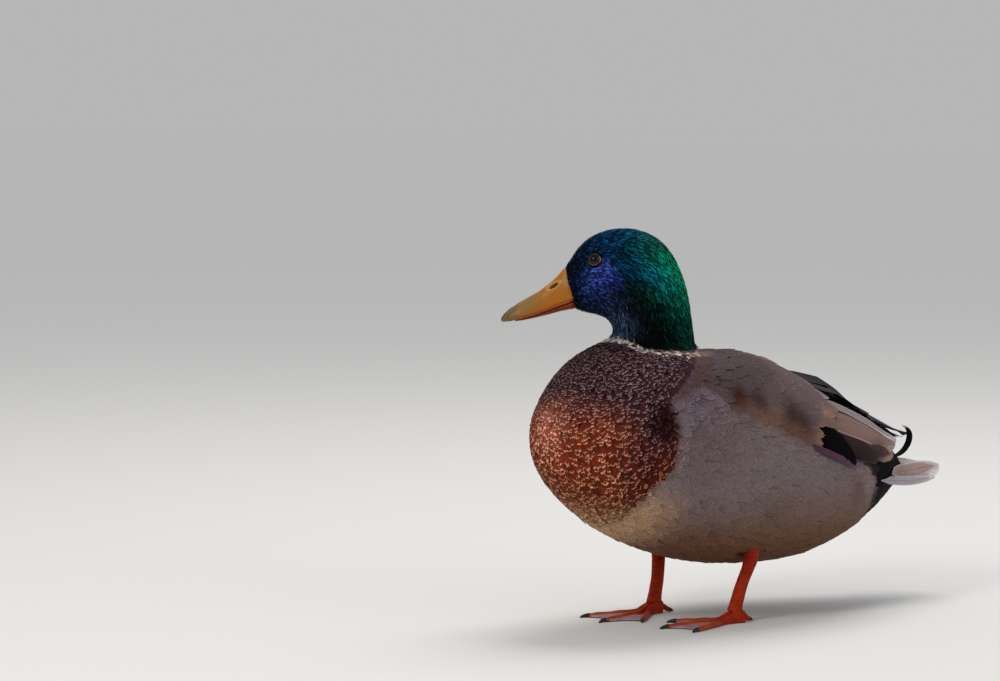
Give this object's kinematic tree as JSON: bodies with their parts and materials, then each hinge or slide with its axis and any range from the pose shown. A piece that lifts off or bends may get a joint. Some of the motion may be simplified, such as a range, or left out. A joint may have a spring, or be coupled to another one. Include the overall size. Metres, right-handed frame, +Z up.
{
  "type": "mallard drake",
  "caption": "Standing mallard drake at life size, head turned to its right, wings folded, tail coverts curled up.",
  "frame": {"origin": "on the floor, under the middle of the whole bird's footprint box", "axes": "+X ahead along the trunk, +Y to the bird's left, +Z up; the soles lie on Z = 0"},
  "size_m": [0.3726, 0.1424, 0.2808],
  "materials": {
    "green_head": "glossy green feathers with violet and blue lights",
    "white_collar": "soft white feathers",
    "chestnut_breast": "soft chestnut feathers with paler edges",
    "grey_flank": "soft grey feathers with fine dark waves",
    "black_coverts": "black feathers with a slight gloss",
    "grey_brown_wing": "smooth grey-brown feathers",
    "violet_speculum": "glossy violet-blue feathers",
    "dark_primaries": "smooth dark brown feathers",
    "pale_tail": "smooth whitish feathers with brown centres",
    "yellow_bill": "smooth waxy skin, olive yellow",
    "orange_bill": "smooth waxy skin, orange",
    "black_nail": "polished black horn",
    "dark_eye": "wet dark brown",
    "orange_leg": "fine scales, satin"
  },
  "bodies": {
    "root": {"head": "green_head", "neck": "green_head", "collar": "white_collar", "breast": "chestnut_breast", "trunk": "grey_flank", "rump": "black_coverts", "bill_upper": "yellow_bill", "bill_lower": "orange_bill", "bill_nail": "black_nail", "eye_left": "dark_eye", "eye_right": "dark_eye", "wing_left": "grey_brown_wing", "wing_right": "grey_brown_wing", "tertials_left": "grey_brown_wing", "tertials_right": "grey_brown_wing", "secondaries_left": "violet_speculum", "secondaries_right": "violet_speculum", "primaries_left": "dark_primaries", "primaries_right": "dark_primaries", "tail": "pale_tail", "curl_left": "black_coverts", "curl_right": "black_coverts", "shank_left": "orange_leg", "shank_right": "orange_leg", "foot_left": "orange_leg", "foot_right": "orange_leg", "hind_toe_left": "orange_leg", "hind_toe_right": "orange_leg"}
  },
  "joints": []
}
